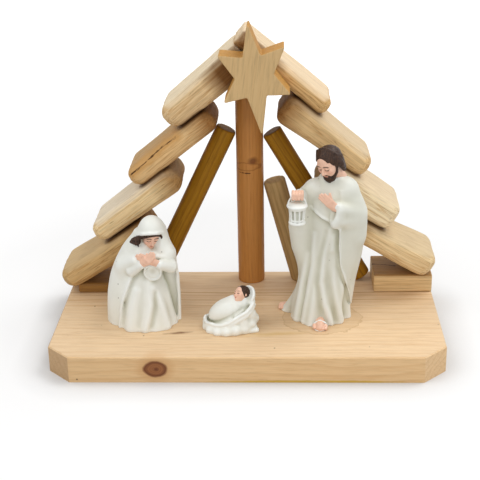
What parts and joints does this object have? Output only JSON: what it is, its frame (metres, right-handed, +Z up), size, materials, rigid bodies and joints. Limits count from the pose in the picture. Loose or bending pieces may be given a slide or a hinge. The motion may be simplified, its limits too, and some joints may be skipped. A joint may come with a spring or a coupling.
{
  "type": "nativity stable",
  "caption": "Tabletop nativity stable: whittled logs stacked as a stepped gable roof on a round post and leaning sticks, a star at the ridge and cast figures on a board with clipped corners.",
  "frame": {"origin": "middle of the base board's underside", "axes": "+X to the viewer's right along the base board, +Y to the back, +Z up"},
  "size_m": [0.2764, 0.14, 0.2233],
  "materials": {
    "pine_board": "planed pine, clear satin",
    "log_wood": "whittled, bare",
    "post_wood": "red-brown, satin",
    "stick_wood": "olive-brown, satin",
    "sill_wood": "stained, satin",
    "star_wood": "sawn, bare",
    "cast_resin": "satin off-white, painted skin and hair",
    "fixing_steel": "bright"
  },
  "bodies": {
    "root": {"base_board": "pine_board", "centre_post": "post_wood", "kneeling_woman": "cast_resin", "left_brace": "stick_wood", "left_roof_log_1": "log_wood", "left_roof_log_2": "log_wood", "left_roof_log_3": "log_wood", "left_roof_log_4": "log_wood", "left_sill_block": "sill_wood", "post_screw": "fixing_steel", "right_long_brace": "stick_wood", "right_roof_log_1": "log_wood", "right_roof_log_2": "log_wood", "right_roof_log_3": "log_wood", "right_roof_log_4": "log_wood", "right_short_brace": "stick_wood", "right_sill_block": "sill_wood", "sill_brads": "fixing_steel", "standing_man": "cast_resin", "star": "star_wood", "swaddled_child": "cast_resin"}
  },
  "joints": []
}
